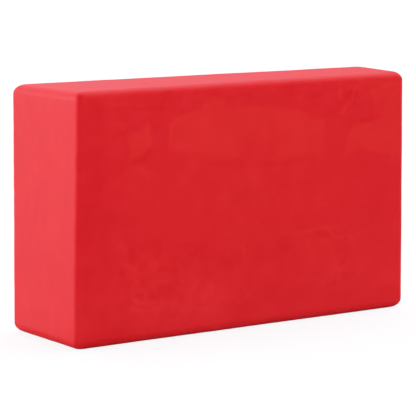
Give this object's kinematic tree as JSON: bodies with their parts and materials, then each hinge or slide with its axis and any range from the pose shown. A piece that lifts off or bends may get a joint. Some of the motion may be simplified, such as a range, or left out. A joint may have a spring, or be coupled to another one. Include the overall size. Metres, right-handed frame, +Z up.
{
  "type": "clay bar",
  "caption": "Solid red block of car detailing clay standing on its long narrow side, with softly rounded edges and slightly askew hand-cut ends.",
  "frame": {"origin": "centre of the bar's bounding box, on the surface that it stands on", "axes": "+X along the bar's length, +Y through its thickness from the broad front face to the broad back face, +Z up its height"},
  "size_m": [0.088, 0.0294, 0.053],
  "materials": {
    "clay": "satin"
  },
  "bodies": {
    "root": {"clay_bar": "clay"}
  },
  "joints": []
}
